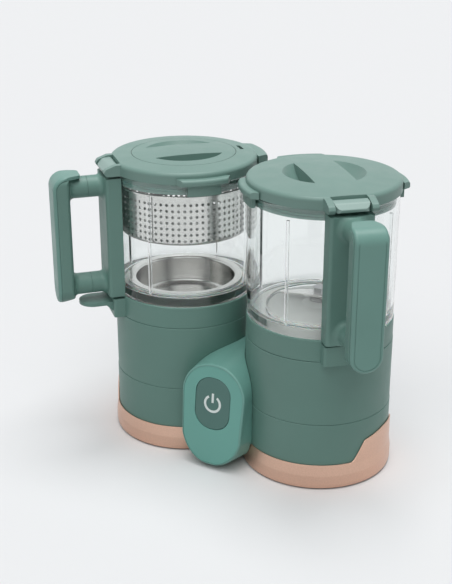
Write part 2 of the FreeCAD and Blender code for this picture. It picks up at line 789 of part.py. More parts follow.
def motor_mounts():
    """Rubber bushes between the base plate and the motor's flange."""
    low = PLATE_Z + PLATE_T
    bush = turned([
        (0, low, 0),
        (MOUNT_R, low, 0.8),
        (MOUNT_R - 1, low + MOUNT_H / 2, 2.0),
        (MOUNT_R, low + MOUNT_H, 0.8),
        (0, low + MOUNT_H, 0),
    ])
    bush.translate(V(MOUNT_CIRCLE_R, 0, 0))
    return Part.makeCompound(around(bush, MOUNT_COUNT, 45))


def motor_shaft():
    return rod(SHAFT_R, MOTOR_Z - 4, DOG_Z + DOG_HUB_T)


def motor_fan():
    """Cooling fan between the motor and the socket."""
    low = MOTOR_TOP_Z + END_BELL_H + FREE_GAP
    hub = tube(FAN_HUB_R, SHAFT_R + PRESS_GAP, low, low + FAN_H)
    half = FAN_BLADE_T / 2
    blade = block(FAN_HUB_R - 1, FAN_R, -half, half, low, low + FAN_H)
    blade.rotate(V(0, 0, low + FAN_H / 2), AXIS_X, FAN_PITCH_DEG)
    blade = blade.common(rod(FAN_R, low, low + FAN_H))
    return fused(hub, *around(blade, FAN_BLADES))


def dog_teeth(z0, start):
    """Ring of wedge teeth, half a pitch apart on the two halves of the drive."""
    half = math.radians(DOG_TOOTH_DEG / 2)
    reach = DOG_R * 1.4
    wedge = prism([
        (0, 0, 0),
        (reach * math.cos(half), -reach * math.sin(half), 0),
        (reach * math.cos(half), reach * math.sin(half), 0),
    ], "xy", z0, z0 + DOG_TOOTH_H)
    tooth = wedge.common(tube(DOG_R, SHAFT_R + 3, z0, z0 + DOG_TOOTH_H))
    return around(tooth, DOG_TEETH, start)


def drive_dog():
    hub = tube(DOG_R, SHAFT_R + PRESS_GAP, DOG_Z, DOG_Z + DOG_HUB_T)
    return fused(hub, *dog_teeth(DOG_Z + DOG_HUB_T, 0))


def driven_dog():
    hub = tube(DOG_R, SHAFT_R + PRESS_GAP, DRIVEN_Z, DRIVEN_Z + DOG_HUB_T)
    return fused(hub, *dog_teeth(DRIVEN_Z - DOG_TOOTH_H, 180.0 / DOG_TEETH))


def blade_bush():
    """Bearing sleeve for the blade's shaft, with a shoulder above the jar's floor."""
    top = GLASS_FLOOR_Z + BUSH_RISE
    return turned([
        (SHAFT_R + RUN_FIT, FLANGE_Z, 0),
        (BUSH_R, FLANGE_Z, 0),
        (BUSH_R, top - BUSH_CHAMFER, 0),
        (BUSH_R - BUSH_CHAMFER, top, 0),
        (SHAFT_R + RUN_FIT, top, 0),
    ])


def blade_stack_z():
    return GLASS_FLOOR_Z + BUSH_RISE + FREE_GAP


def blade_shaft():
    return rod(SHAFT_R, DRIVEN_Z, blade_stack_z() + 2 * BLADE_T + NUT_H)


def blade_arm(bend):
    """One cutting arm along +X, swept back to a point and bent up or down at its root."""
    low = blade_stack_z()
    root = SHAFT_R + BLADE_ROOT
    wing = prism([
        (root, -BLADE_W / 2, 0),
        (BLADE_KNEE, -BLADE_W / 2 + 1, 12.0),
        (BLADE_REACH, BLADE_W / 2 - 2, 0.5),
        (root, BLADE_W / 2, 0),
    ], "xy", low, low + BLADE_T)
    wing.rotate(V(root, 0, low + BLADE_T / 2), AXIS_Y, -bend)
    plate = block(0, root + 0.5, -BLADE_W / 2, BLADE_W / 2, low, low + BLADE_T)
    return plate.fuse(wing)


def blades():
    """Two crossed twin blades, one bent up and one bent slightly down."""
    hole = rod(SHAFT_R + PRESS_GAP, 0, GLASS_TOP_Z)
    lower = fused(*around(blade_arm(-BLADE_BEND_DEG / 3), 2)).cut(hole)
    upper = fused(*around(blade_arm(BLADE_BEND_DEG), 2, 90)).cut(hole)
    upper.translate(V(0, 0, BLADE_T))
    return Part.makeCompound([lower, upper])


def blade_nut():
    low = blade_stack_z() + 2 * BLADE_T
    corners = []
    for i in range(6):
        angle = math.radians(60 * i)
        corners.append((NUT_R * math.cos(angle), NUT_R * math.sin(angle), 0))
    hexagon = prism(corners, "xy", low, low + NUT_H)
    return hexagon.cut(rod(SHAFT_R + PRESS_GAP, low, low + NUT_H))


# Jars


def glass_jar():
    """Glass cylinder with a thick floor ring and four upright ribs inside."""
    wall = turned([
        (GLASS_MOUTH_R, GLASS_Z, 1.0),
        (NECK_R, GLASS_Z, 1.5),
        (NECK_R, COLLAR_TOP_Z + FREE_GAP, 0),
        (GLASS_R, COLLAR_TOP_Z + FREE_GAP, 0.8),
        (GLASS_R, GLASS_TOP_Z, 1.0),
        (GLASS_IN_R, GLASS_TOP_Z, 1.0),
        (GLASS_IN_R, GLASS_FLOOR_Z, 6.0),
        (GLASS_MOUTH_R, GLASS_FLOOR_Z, 1.0),
    ])
    half = GLASS_RIB_W / 2
    inner = GLASS_IN_R - GLASS_RIB_T
    rib = prism([
        (GLASS_IN_R + GLASS_T / 2, -half, 0),
        (GLASS_IN_R + GLASS_T / 2, half, 0),
        (inner, half, 1.0),
        (inner, -half, 1.0),
    ], "xy", GLASS_FLOOR_Z - 0.5, GLASS_RIB_TOP_Z)
    return fused(wall, *around(rib, 4, 45))


def jar_gasket():
    """Silicone ring between the glass and the jar's base."""
    return tube(NECK_R - GASKET_INSET, GLASS_MOUTH_R + GASKET_INSET, GASKET_Z, GLASS_Z)


def steam_jar_base():
    """Ring that the collar presses against the steam jar's glass."""
    return tube(NECK_R, GLASS_MOUTH_R + 0.5, FLANGE_Z, GASKET_Z)


def steam_dish():
    """Stainless dish: a flange on the glass floor and a pan down to the heater."""
    seal_top = GLASS_FLOOR_Z + GASKET_T
    pan_r = GLASS_MOUTH_R - FREE_GAP
    floor_z = HEATER_TOP_Z + FREE_GAP
    return turned([
        (0, floor_z, 0),
        (pan_r, floor_z, 5.0),
        (pan_r, seal_top, 1.5),
        (DISH_FLANGE_R, seal_top, 0),
        (DISH_FLANGE_R, seal_top + DISH_T, 0),
        (pan_r - DISH_T, seal_top + DISH_T, 2.5),
        (pan_r - DISH_T, floor_z + DISH_T, 4.0),
        (0, floor_z + DISH_T, 0),
    ])


def steam_dish_seal():
    return tube(DISH_FLANGE_R, GLASS_MOUTH_R + GASKET_INSET, GLASS_FLOOR_Z, GLASS_FLOOR_Z + GASKET_T)


def blend_jar_base():
    """Blade carrier: a flange under the gasket and a plug up through the glass floor."""
    plug_r = GLASS_MOUTH_R - FREE_GAP
    return turned([
        (BUSH_R + PRESS_GAP, FLANGE_Z, 0),
        (NECK_R, FLANGE_Z, 0),
        (NECK_R, GASKET_Z, 0),
        (plug_r, GASKET_Z, 0),
        (plug_r, GLASS_FLOOR_Z - 1, 3.0),
        (BUSH_R + 6, GLASS_FLOOR_Z + 1, 4.0),
        (BUSH_R + PRESS_GAP, GLASS_FLOOR_Z + 4, 0),
    ])


def collar():
    """Turning ring at the foot of a jar, with a boss under the handle's rib."""
    bore = NECK_R + FREE_GAP
    ledge_z = FLANGE_Z - FREE_GAP
    ring = turned([
        (COLLAR_FLANGE_R, ledge_z - COLLAR_FLANGE_T, 0),
        (bore, ledge_z - COLLAR_FLANGE_T, 0),
        (bore, COLLAR_Z, 0),
        (COLLAR_R, COLLAR_Z, 0.5),
        (COLLAR_R, COLLAR_TOP_Z, 0.6),
        (bore, COLLAR_TOP_Z, 0),
        (bore, ledge_z, 0),
        (COLLAR_FLANGE_R, ledge_z, 0),
    ])
    half = RIB_W / 2
    boss = prism([
        (BODY_R - 10, -half, 0),
        (BOSS_OUT_R, -half, 2.0),
        (BOSS_OUT_R, half, 2.0),
        (BODY_R - 10, half, 0),
    ], "xy", COLLAR_Z, COLLAR_TOP_Z - BOSS_DROP)
    return fused(ring, boss.cut(rod(COLLAR_R - COLLAR_BITE, 0, GLASS_TOP_Z)))


def steam_collar():
    """The steam jar's collar also has a finger paddle on a gusset."""
    top = COLLAR_TOP_Z - PADDLE_DROP
    half = PADDLE_W / 2
    paddle = prism([
        (BODY_R - 8, -half, 0),
        (PADDLE_REACH, -half, half - 0.1),
        (PADDLE_REACH, half, half - 0.1),
        (BODY_R - 8, half, 0),
    ], "xy", top - PADDLE_T, top)
    gusset = prism([
        (BODY_R - 8, COLLAR_Z, 0),
        (BODY_R + GUSSET_FOOT, COLLAR_Z, 0),
        (BODY_R + GUSSET_HEAD, top - PADDLE_T / 2, 0),
        (BODY_R - 8, top - PADDLE_T / 2, 0),
    ], "xz", -half, half)
    lever = fused(paddle, gusset).cut(rod(COLLAR_R - COLLAR_BITE, 0, GLASS_TOP_Z))
    return fused(collar(), lever)


# Handle, made with its radial direction along +X


def arm(x0, x1, z, flare_at):
    """Round arm along X, flared where it meets the rib or the grip."""
    stub = rod_x(ARM_R, x0, x1, 0, z)
    toward = 1 if flare_at == x0 else -1
    tip = flare_at + toward * ARM_FLARE
    high = z + ARM_R + ARM_FLARE
    curve_mid = V(tip - toward * ARM_FLARE * math.sqrt(0.5), 0, high - ARM_FLARE * math.sqrt(0.5))
    section = Part.Wire([
        Part.LineSegment(V(flare_at, 0, z), V(flare_at, 0, high)).toShape(),
        Part.Arc(V(flare_at, 0, high), curve_mid, V(tip, 0, z + ARM_R)).toShape(),
        Part.LineSegment(V(tip, 0, z + ARM_R), V(tip, 0, z)).toShape(),
        Part.LineSegment(V(tip, 0, z), V(flare_at, 0, z)).toShape(),
    ])
    flare = Part.Face(section).revolve(V(0, 0, z), AXIS_X, 360)
    return stub.fuse(flare)


def handle_screw_holes(radius):
    return [rod_x(radius, RIB_OUT_R - 6, GRIP_OUT_R, 0, z) for z in (LOWER_ARM_Z, UPPER_ARM_Z)]


def handle_rib():
    """Upright rib against the glass, with the inner halves of both arms."""
    half = RIB_W / 2
    post = prism([
        (GLASS_R - 12, -half, 0),
        (RIB_OUT_R, -half, 3.0),
        (RIB_OUT_R, half, 3.0),
        (GLASS_R - 12, half, 0),
    ], "xy", RIB_Z, RIB_TOP_Z)
    post = post.cut(rod(GLASS_R + JOIN_GAP, RIB_Z, RIB_TOP_Z))
    arms = [arm(RIB_OUT_R, ARM_SPLIT_R - JOIN_GAP, z, RIB_OUT_R) for z in (LOWER_ARM_Z, UPPER_ARM_Z)]
    limits = block(0, GRIP_OUT_R, -half, half, RIB_Z, RIB_TOP_Z)
    arms = [one.common(limits) for one in arms]
    return fused(post, *arms).cut(handle_screw_holes(SCREW_R + PRESS_GAP))


def grip_front(inset):
    """Front view of the grip: round at the foot, softly cornered at the top."""
    half = GRIP_W / 2 - inset
    return prism([
        (-half, GRIP_Z + inset, half - 0.1),
        (half, GRIP_Z + inset, half - 0.1),
        (half, GRIP_TOP_Z, 7.0),
        (-half, GRIP_TOP_Z, 7.0),
    ], "yz", RIB_OUT_R, GRIP_OUT_R)


def handle_core():
    """Inner half of the grip with the outer halves of both arms."""
    half = GRIP_W / 2
    arm_low = LOWER_ARM_Z - ARM_R
    arm_high = UPPER_ARM_Z + ARM_R
    bar = prism([
        (GRIP_IN_R, arm_low, 2.5),
        (CORE_OUT_R, GRIP_Z + 1.0, 0),
        (CORE_OUT_R, arm_high, 9.0),
        (GRIP_IN_R, arm_high, 0),
    ], "xz", -half, half)
    section = prism([
        (GRIP_IN_R, -half, CORE_ROUND),
        (CORE_OUT_R, -half, 0.6),
        (CORE_OUT_R, half, 0.6),
        (GRIP_IN_R, half, CORE_ROUND),
    ], "xy", GRIP_Z, GRIP_TOP_Z)
    bar = bar.common(grip_front(0)).common(section)
    arms = [arm(ARM_SPLIT_R, GRIP_IN_R, z, GRIP_IN_R) for z in (LOWER_ARM_Z, UPPER_ARM_Z)]
    limits = block(0, GRIP_OUT_R, -half + 2, half - 2, arm_low, arm_high)
    arms = [one.common(limits) for one in arms]
    heads = [rod_x(SCREW_HEAD_R + PRESS_GAP, SCREW_SEAT_R, GRIP_OUT_R, 0, z)
             for z in (LOWER_ARM_Z, UPPER_ARM_Z)]
    return fused(bar, *arms).cut(handle_screw_holes(SCREW_R + PRESS_GAP) + heads)


def cover_section(plane, low, level):
    """Flat slice of the cover, rounded along its two outer edges."""
    return outline([
        (low, -COVER_HALF, 0),
        (low + COVER_T - JOIN_GAP, -COVER_HALF, COVER_ROUND),
        (low + COVER_T - JOIN_GAP, COVER_HALF, COVER_ROUND),
        (low, COVER_HALF, 0),
    ], plane, level)


def cover_face(inset):
    """Block over the cover's outer face, drawn in by an inset and round at the foot."""
    half = COVER_HALF - inset
    low = GRIP_Z + inset
    return prism([
        (-half, low, half - SEAM),
        (half, low, half - SEAM),
        (half, GRIP_TOP_Z, 0),
        (-half, GRIP_TOP_Z, 0),
    ], "yz", GRIP_OUT_R - GROOVE_DEPTH, GRIP_OUT_R + 1)


def handle_cover():
    """Outer half of the grip: wraps over the top as a tongue, ends round below."""
    inner = CORE_OUT_R + JOIN_GAP
    bend_x = GRIP_OUT_R - COVER_BEND
    bend_z = GRIP_TOP_Z - COVER_BEND
    foot_z = GRIP_Z + COVER_HALF
    upright = cover_section("xy", inner, foot_z)
    half_foot = upright.common(block(0, GRIP_OUT_R, 0, GRIP_W, foot_z - 1, foot_z + 1))
    foot = half_foot.revolve(V(0, 0, foot_z), AXIS_X, -180)
    bend_start = cover_section("xy", inner, bend_z)
    bend = bend_start.revolve(V(bend_x, 0, bend_z), AXIS_Y, -90)
    tongue_face = bend_start.copy()
    tongue_face.rotate(V(bend_x, 0, bend_z), AXIS_Y, -90)
    tongue = tongue_face.extrude(V(TONGUE_R - bend_x, 0, 0))
    skin = fused(upright.extrude(V(0, 0, bend_z - foot_z)), foot, bend, tongue)
    plan = prism([
        (TONGUE_R, -TONGUE_W / 2, 4.0),
        (GRIP_IN_R + 4, -COVER_HALF, 10.0),
        (GRIP_OUT_R + 1, -COVER_HALF, 0),
        (GRIP_OUT_R + 1, COVER_HALF, 0),
        (GRIP_IN_R + 4, COVER_HALF, 10.0),
        (TONGUE_R, TONGUE_W / 2, 4.0),
    ], "xy", GRIP_Z - 1, GRIP_TOP_Z + 1)
    groove = cover_face(GROOVE_INSET).cut(cover_face(GROOVE_INSET + GROOVE_W))
    return skin.common(plan).cut(groove)


def handle_screws():
    """Long screws through the arms, with their heads under the cover."""
    screws = []
    for z in (LOWER_ARM_Z, UPPER_ARM_Z):
        shank = rod_x(SCREW_R, RIB_OUT_R - 6, SCREW_SEAT_R, 0, z)
        head = rod_x(SCREW_HEAD_R, SCREW_SEAT_R, SCREW_SEAT_R + SCREW_HEAD_H, 0, z)
        screws.append(fused(shank, head))
    return Part.makeCompound(screws)


# Lids, made with the handle's side along +X


def dome(inset):
    """Ball whose top is the lid's crown, less a thickness."""
    return Part.makeSphere(DOME_R - inset, V(0, 0, LID_TOP_Z - DOME_R))


def finger_bowls(thickness):
    """The two halves of a round bowl, one on each side of the grip bar."""
    ball = Part.makeSphere(GRIP_BALL_R + thickness, V(0, 0, BOWL_CENTRE_Z))
    edge = GRIP_BAR_W / 2 - thickness
    reach = GRIP_BOWL_R + 10
    sides = [block(-reach, reach, y0, y1, LID_Z - 10, LID_TOP_Z + 5)
             for y0, y1 in ((-reach, -edge), (edge, reach))]
    return [ball.common(side) for side in sides]


def lid_lug(out_r, height):
    """Ledge on the lid's rim, with a short skirt below it outside the glass."""
    foot = LUG_W / 2 + LUG_FLARE
    head = LUG_W / 2 - LUG_FLARE
    ledge = prism([
        (LID_R - 3, -foot, 0),
        (out_r + 1, -head, 0),
        (out_r + 1, head, 0),
        (LID_R - 3, foot, 0),
    ], "xy", LID_Z, LID_Z + height)
    rounded = turned([
        (0, LID_Z, 0),
        (out_r, LID_Z, 1.0),
        (out_r, LID_Z + height, 2.5),
        (0, LID_Z + height, 0),
    ])
    ledge = ledge.common(rounded)
    inner = GLASS_R + 1.5 * FREE_GAP
    hook = tube(inner + HOOK_T, inner, SKIRT_Z, LID_Z + 1)
    hook = hook.common(block(0, LUG_R, -HOOK_W / 2, HOOK_W / 2, SKIRT_Z, LID_Z + 1))
    return ledge.fuse(hook)


def flap_ears():
    """Solid tab over the handle's rib, before the flap's slot is cut."""
    half = LUG_W / 2
    return prism([
        (LID_R - 4, LID_Z, 0),
        (TAB_OUT_R - 2.5, LID_Z, 2.0),
        (TAB_OUT_R, LID_Z + 3.0, 2.0),
        (TAB_OUT_R - 2.0, LID_Z + 6.5, 3.0),
        (FLAP_PIVOT_R + 1, LID_RIM_Z - 0.3, 5.0),
        (LID_R - 4, LID_RIM_Z - 0.3, 0),
    ], "xz", -half, half)


def flap_slot():
    """Room for the thumb flap to swing between the ears."""
    half = FLAP_W / 2 + FREE_GAP
    root = rod_y(FLAP_ROOT_R + FREE_GAP, -half, half, FLAP_PIVOT_R, FLAP_PIVOT_Z)
    front = block(FLAP_PIVOT_R, TAB_OUT_R + 1, -half, half, LID_Z - 1, LID_TOP_Z)
    above = block(FLAP_PIVOT_R - FLAP_ROOT_R - FREE_GAP, TAB_OUT_R, -half, half, FLAP_PIVOT_Z, LID_TOP_Z)
    return fused(root, front, above)


def lid_flap():
    """Thumb flap on a pin between the ears, smooth and sloping down to its lip."""
    half = FLAP_W / 2
    tongue = prism([
        (FLAP_PIVOT_R, LID_Z + 1.5, 0),
        (TAB_OUT_R - 1.5, LID_Z + 0.8, 1.0),
        (TAB_OUT_R - 0.6, LID_Z + 3.4, 1.0),
        (FLAP_PIVOT_R + 5.5, FLAP_PIVOT_Z + FLAP_ROOT_R - 0.6, 6.0),
        (FLAP_PIVOT_R, FLAP_PIVOT_Z + FLAP_ROOT_R, 0),
    ], "xz", -half, half)
    plan = prism([
        (FLAP_PIVOT_R - 8, -half, 0),
        (TAB_OUT_R - 0.6, -half, 6.0),
        (TAB_OUT_R - 0.6, half, 6.0),
        (FLAP_PIVOT_R - 8, half, 0),
    ], "xy", LID_Z - 1, LID_TOP_Z)
    root = rod_y(FLAP_ROOT_R, -half, half, FLAP_PIVOT_R, FLAP_PIVOT_Z)
    bore = rod_y(PIN_R + RUN_FIT, -half, half, FLAP_PIVOT_R, FLAP_PIVOT_Z)
    return fused(tongue.common(plan), root).cut(bore)


def flap_pin():
    half = LUG_W / 2 - 1.5
    return rod_y(PIN_R, -half, half, FLAP_PIVOT_R, FLAP_PIVOT_Z)


def lid_shell():
    """Domed disc with a rounded rim, an inner skirt, lugs and the flap's ears."""
    disc = rod(LID_R, LID_Z, LID_TOP_Z + 1).common(dome(0))
    disc = disc.makeFillet(LID_EDGE_ROUND, circle_edges(disc, LID_R, LID_RIM_Z))
    hollow = rod(SKIRT_IN_R, LID_Z - 1, LID_TOP_Z).common(dome(LID_T))
    skirt = tube(SKIRT_R, SKIRT_IN_R, SKIRT_Z, LID_Z + 1)
    side_lugs = around(lid_lug(LUG_R, LUG_H), 2, 90)
    spout_lug = around(lid_lug(SPOUT_LUG_R, SPOUT_LUG_H), 1, 180)
    shell = fused(disc.cut(hollow), skirt, *side_lugs, *spout_lug, flap_ears())
    half = LUG_W / 2 - 1.5
    pin_hole = rod_y(PIN_R + PRESS_GAP, -half, half, FLAP_PIVOT_R, FLAP_PIVOT_Z)
    groove_z = SKIRT_Z + 2.0
    groove = tube(SKIRT_R + 1, SKIRT_R - SEAL_DEPTH, groove_z, groove_z + SEAL_W)
    return shell.cut([flap_slot(), pin_hole, groove])


def blend_lid():
    """Lid with the finger bowls moulded in."""
    pods = [pod.common(dome(0)) for pod in finger_bowls(LID_T * 0.7)]
    return fused(lid_shell(), *pods).cut(finger_bowls(0))


def cap_ledge_z():
    return LID_RIM_Z - 2.0


def steam_lid():
    """Lid ring with a seat for the turning cap and a steam vent beside it."""
    ledge_z = cap_ledge_z()
    seat_r = CAP_R + CAP_GAP
    ledge = tube(seat_r + WALL, CAP_R - CAP_LEDGE, ledge_z - LID_T, ledge_z)
    wall = tube(seat_r + WALL, seat_r, ledge_z - LID_T, LID_TOP_Z).common(dome(0.5))
    shell = lid_shell().cut(rod(seat_r, LID_Z - 1, LID_TOP_Z))
    vent = prism([
        (-VENT_IN_R - VENT_W, -VENT_L / 2, 1.0),
        (-VENT_IN_R, -VENT_L / 2, 1.0),
        (-VENT_IN_R, VENT_L / 2, 1.0),
        (-VENT_IN_R - VENT_W, VENT_L / 2, 1.0),
    ], "xy", LID_Z - 1, LID_TOP_Z)
    return fused(shell, ledge, wall).cut(vent)


def steam_lid_cap():
    """Turning cap with the finger bowls and a grip bar across it."""
    ledge_z = cap_ledge_z()
    disc = rod(CAP_R, ledge_z, LID_TOP_Z + 1).common(dome(0))
    spigot_r = CAP_R - CAP_LEDGE - CAP_GAP
    spigot = tube(spigot_r, spigot_r - WALL, ledge_z - 2 * LID_T, ledge_z + 1)
    hollow = rod(spigot_r - WALL, ledge_z - 1, LID_TOP_Z).common(dome(LID_T))
    pods = [pod.common(dome(0)) for pod in finger_bowls(LID_T * 0.7)]
    return fused(disc.cut(hollow), spigot, *pods).cut(finger_bowls(0))


def lid_seal():
    groove_z = SKIRT_Z + 2.0
    return turned([
        (SKIRT_R - SEAL_DEPTH, groove_z, 0),
        (SKIRT_R + FREE_GAP, groove_z, 1.0),
        (SKIRT_R + FREE_GAP, groove_z + SEAL_W, 1.0),
        (SKIRT_R - SEAL_DEPTH, groove_z + SEAL_W, 0),
    ])


# Steam basket


def basket_holes():
    """Rows of round holes through the wall and rings of them through the floor."""
    holes = []
    for row in range(HOLE_ROWS):
        z = BASKET_TOP_Z - HOLE_FIRST_DROP - row * HOLE_PITCH
        hole = rod_x(HOLE_R, BASKET_R - 3, BASKET_R + 3, 0, z)
        holes += around(hole, HOLE_COLUMNS)
    low = BASKET_TOP_Z - BASKET_H
    holes.append(rod(HOLE_R, low - 1, low + 3))
    for ring in range(1, FLOOR_HOLE_RINGS + 1):
        hole = rod(HOLE_R, low - 1, low + 3, ring * FLOOR_HOLE_STEP)
        holes += around(hole, 6 * ring)
    return holes


def steam_basket():
    """Pressed steel cup, hung by its rim on the tops of the glass ribs."""
    low = BASKET_TOP_Z - BASKET_H
    rim_r = GLASS_IN_R - BASKET_RIM_GAP
    cup = turned([
        (0, low, 0),
        (BASKET_R, low, BASKET_ROUND),
        (BASKET_R, BASKET_TOP_Z - BASKET_RIM_T, 0),
        (rim_r, BASKET_TOP_Z - BASKET_RIM_T, 0),
        (rim_r, BASKET_TOP_Z, 0.4),
        (BASKET_R - BASKET_T, BASKET_TOP_Z, 0.4),
        (BASKET_R - BASKET_T, low + BASKET_T, BASKET_ROUND - BASKET_T),
        (0, low + BASKET_T, 0),
    ])
    return cup.cut(Part.makeCompound(basket_holes()))


def jar_pieces(name, side):
    """Nodes that both jars have."""
    return {
        name + "_glass": at_handle(glass_jar(), side),
        name + "_handle_rib": at_handle(handle_rib(), side),
        name + "_handle_core": at_handle(handle_core(), side),
        name + "_handle_cover": at_handle(handle_cover(), side),
        name + "_handle_screws": at_handle(handle_screws(), side),
        name + "_jar_gasket": at_handle(jar_gasket(), side),
        name + "_lid_seal": at_handle(lid_seal(), side),
        name + "_lid_flap": at_handle(lid_flap(), side),
        name + "_flap_pin": at_handle(flap_pin(), side),
    }


def steam_side(side):
    pieces = {
        "steam_trim_ring": at_tower(trim_ring(), side, outward(side)),
        "steam_lower_shell": at_tower(lower_shell(side), side),
        "steam_upper_shell": at_tower(steam_upper_shell(), side),
        "steam_base_plate": at_tower(base_plate(False), side),
        "heating_plate": at_tower(heating_plate(), side),
        "boiler_seal": at_tower(boiler_seal(), side),
        "heating_element": at_tower(heating_element(), side),
        "thermostat": at_tower(thermostat(), side),
        "steam_jar_base": at_handle(steam_jar_base(), side),
        "steam_dish": at_handle(steam_dish(), side),
        "steam_dish_seal": at_handle(steam_dish_seal(), side),
        "steam_lock_ring": at_handle(steam_collar(), side),
        "steam_basket": at_handle(steam_basket(), side),
        "steam_lid": at_handle(steam_lid(), side),
        "steam_lid_cap": at_handle(steam_lid_cap(), side),
    }
    pieces.update(jar_pieces("steam", side))
    return pieces


def blend_side(side):
    pieces = {
        "blend_trim_ring": at_tower(trim_ring(), side, outward(side)),
        "blend_lower_shell": at_tower(lower_shell(side), side),
        "blend_upper_shell": at_tower(blend_upper_shell(), side),
        "blend_base_plate": at_tower(base_plate(True), side),
        "motor_can": at_tower(motor_can(), side),
        "motor_end_bell": at_tower(motor_end_bell(), side),
        "motor_mounts": at_tower(motor_mounts(), side),
        "motor_shaft": at_tower(motor_shaft(), side),
        "motor_fan": at_tower(motor_fan(), side),
        "drive_dog": at_tower(drive_dog(), side),
        "driven_dog": at_tower(driven_dog(), side),
        "blade_bush": at_tower(blade_bush(), side),
        "blade_shaft": at_tower(blade_shaft(), side),
        "blades": at_tower(blades(), side),
        "blade_nut": at_tower(blade_nut(), side),
        "blend_jar_base": at_handle(blend_jar_base(), side),
        "blend_lock_ring": at_handle(collar(), side),
        "blend_lid": at_handle(blend_lid(), side),
    }
    pieces.update(jar_pieces("blend", side))
    return pieces


def shared_pieces():
    return {
        "rubber_feet": rubber_feet(),
        "base_screws": base_screws(),
        "bridge_shell": bridge_shell(),
        "front_panel": front_panel(),
        "start_button": start_button(),
        "control_board": control_board(),
        "button_switch": button_switch(),
        "cord_gland": cord_gland(),
    }


def main():
    os.makedirs("parts", exist_ok=True)
    pieces = {}
    pieces.update(shared_pieces())
    pieces.update(steam_side(-1))
    pieces.update(blend_side(1))
    for name, shape in pieces.items():
        shape.exportStep("parts/" + name + ".step")
        print(name, len(shape.Solids), "solids", round(shape.Volume / 1000, 2), "cm3", shape.isValid())


main()
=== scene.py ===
"""Looks of the twin-tower baby food maker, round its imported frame. Metres, +Z up, +Y to the back."""
import bmesh
import bpy
import json
import math
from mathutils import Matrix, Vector


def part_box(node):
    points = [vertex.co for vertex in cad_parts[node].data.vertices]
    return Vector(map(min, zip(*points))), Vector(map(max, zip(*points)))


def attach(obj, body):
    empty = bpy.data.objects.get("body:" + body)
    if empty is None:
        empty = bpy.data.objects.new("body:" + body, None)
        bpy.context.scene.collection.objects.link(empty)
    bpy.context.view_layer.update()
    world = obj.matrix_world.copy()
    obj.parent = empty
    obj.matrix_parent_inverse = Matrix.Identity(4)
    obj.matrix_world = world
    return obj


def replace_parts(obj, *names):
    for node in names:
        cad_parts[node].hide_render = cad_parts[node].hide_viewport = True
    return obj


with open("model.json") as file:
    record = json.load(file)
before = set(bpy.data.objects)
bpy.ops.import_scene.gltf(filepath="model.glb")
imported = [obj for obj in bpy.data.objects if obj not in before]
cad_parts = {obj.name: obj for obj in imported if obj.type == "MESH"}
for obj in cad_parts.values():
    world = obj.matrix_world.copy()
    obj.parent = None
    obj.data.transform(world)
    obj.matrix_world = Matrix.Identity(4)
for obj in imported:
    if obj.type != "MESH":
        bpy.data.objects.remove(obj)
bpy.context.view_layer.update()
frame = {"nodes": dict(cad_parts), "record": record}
NODES = frame["nodes"]

# The photograph's frame and the camera that was fitted to it
PHOTO_H = 584
FOCAL_PX = 1125.8
SENSOR = 36.0
VIEW_AZIMUTH = math.radians(29.6)
VIEW_ELEVATION = math.radians(22.15)
VIEW_DISTANCE = 1.0176
AIM_X = -0.02517
AIM_Z = 0.13735
CLIP_START = 0.01

# Colours, linear
GREEN = (0.132, 0.254, 0.218)
# Lid green: the tower green made lighter and greyer, a painted sheen that stands in for the overhead
# light on the lid tops
LID_GREEN_PAINTED_SHEEN = (0.168, 0.284, 0.250)
PANEL_GREEN = (0.155, 0.405, 0.350)
# Bridge green: partly the shell's own green, made lighter as a painted sheen for the light on the
# bridge's top
BRIDGE_GREEN_PAINTED_SHEEN = (0.168, 0.370, 0.323)
GRIP_GREEN = (0.152, 0.306, 0.266)
BUTTON_GREEN = (0.078, 0.180, 0.158)
# Flap green: much lighter than the lid green, painted light for the flap's upward-tilted face
FLAP_GREEN_PAINTED_LIGHT = (0.250, 0.375, 0.340)
ROSE = (0.700, 0.455, 0.345)
STAINLESS = (0.700, 0.690, 0.670)
STEEL = (0.520, 0.520, 0.530)
SILICONE = (0.680, 0.700, 0.680)
RUBBER = (0.020, 0.020, 0.021)
BLACK = (0.030, 0.031, 0.032)
PALE_PLASTIC = (0.600, 0.620, 0.600)
BOARD = (0.030, 0.120, 0.050)
WHITE_INK = (0.800, 0.880, 0.860)
GLASS_TINT = (0.965, 0.985, 0.980)
WHITE = (1.0, 1.0, 1.0)

# Stage
BACKDROP = (0.863, 0.880, 0.896)
FLOOR_PAPER = (0.760, 0.770, 0.783)
FLOOR_BOUNCE = (0.540, 0.545, 0.550)
FLOOR_HALF = 14.0
SKY_FILL = 0.22

# Shader details
NOISE_MIDDLE = (0.3, 0.7)    # the range in which most of a noise lies
MOULDED_EDGE = 0.0004        # radius of a moulded edge
EDGE_SAMPLES = 4

# Front of the bridge: it leans back and draws in to a rounder foot, as in the photograph
FACE_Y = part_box("bridge_shell")[0].y
FACE_DEPTH = 0.011           # points further behind the face than this stay where they are
LEAN = 0.12                  # back by this much for each unit of height
LEAN_Z = 0.062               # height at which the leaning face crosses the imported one
FOOT_START_Z = 0.0416        # the outline starts to draw in here
FOOT_END_Z = 0.0016
FOOT_HALF_W = 0.031
FOOT_CORNER_R = 0.026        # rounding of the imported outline
FOOT_FLAT = 0.002            # half of the level run at the very foot
FOOT_RISE = 0.003            # the very foot lifts by this
HEAD_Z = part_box("front_panel")[1].z
HEAD_DROP = 0.0027           # the head sinks by this

# Power sign on the button
SIGN_R = 0.0074
SIGN_HALF_W = 0.0011         # half of the line's width
SIGN_GAP = math.radians(32)  # half of the ring's gap
SIGN_STEPS = 48
SIGN_BAR_Z = (0.0010, 0.0100)    # ends of the bar, above the ring's centre
INK_PROUD = 0.00012
INK_SUNK = 0.0002


# Shader helpers


